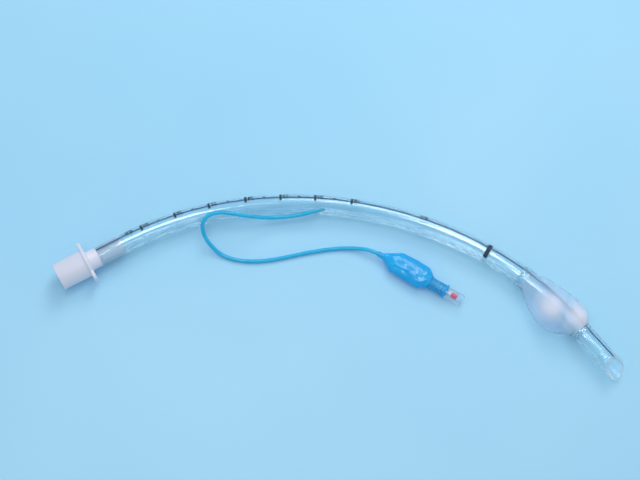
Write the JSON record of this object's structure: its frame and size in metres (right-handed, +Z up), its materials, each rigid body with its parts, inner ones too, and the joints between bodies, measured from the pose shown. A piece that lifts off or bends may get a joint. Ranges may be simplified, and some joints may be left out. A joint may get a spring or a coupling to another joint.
{
  "type": "endotracheal tube",
  "caption": "Curved clear cuffed airway tube with a bevelled tip and side eye, a winged push-on connector, and a thin pilot line ending in a soft balloon with a spring valve.",
  "frame": {"origin": "centre of the connector's open end, where a breathing circuit's socket is pushed on", "axes": "+X runs in plan from the connector's open end along its axis, the tube bends away towards -Y, and +Z is up from the table that the tube lies on"},
  "size_m": [0.241, 0.2106, 0.018],
  "materials": {
    "clear_pvc": "clear, glossy, slightly blue extruded plastic",
    "line_blue": "opaque dark blue line in the wall",
    "milky_connector": "milky translucent moulded plastic with a soft sheen",
    "cuff_film": "thin milky clear film",
    "pilot_blue": "translucent blue soft plastic",
    "balloon_blue": "translucent bright blue soft film",
    "valve_clear": "clear rigid moulded plastic",
    "plunger_red": "opaque red moulded plastic",
    "seal_rubber": "matt dark rubber",
    "spring_steel": "bright wire",
    "plug_white": "white moulded plastic"
  },
  "bodies": {
    "airway": {"tube": "clear_pvc", "radiopaque_line": "line_blue", "connector": "milky_connector", "cuff": "cuff_film", "pilot_line": "pilot_blue", "pilot_balloon": "balloon_blue", "valve_housing": "valve_clear", "valve_plug": "plug_white", "valve_spring": "spring_steel"},
    "plunger": {"valve_plunger": "plunger_red", "valve_seal": "seal_rubber"}
  },
  "joints": [
    {"name": "valve_press", "type": "slide", "parent": "airway", "child": "plunger", "axis": [-0.4939, 0.8695, 0], "range_m": [0, 0.0012], "stiffness_N_per_m": 500, "springref_m": -0.001, "deforming": ["valve_spring"]}
  ]
}
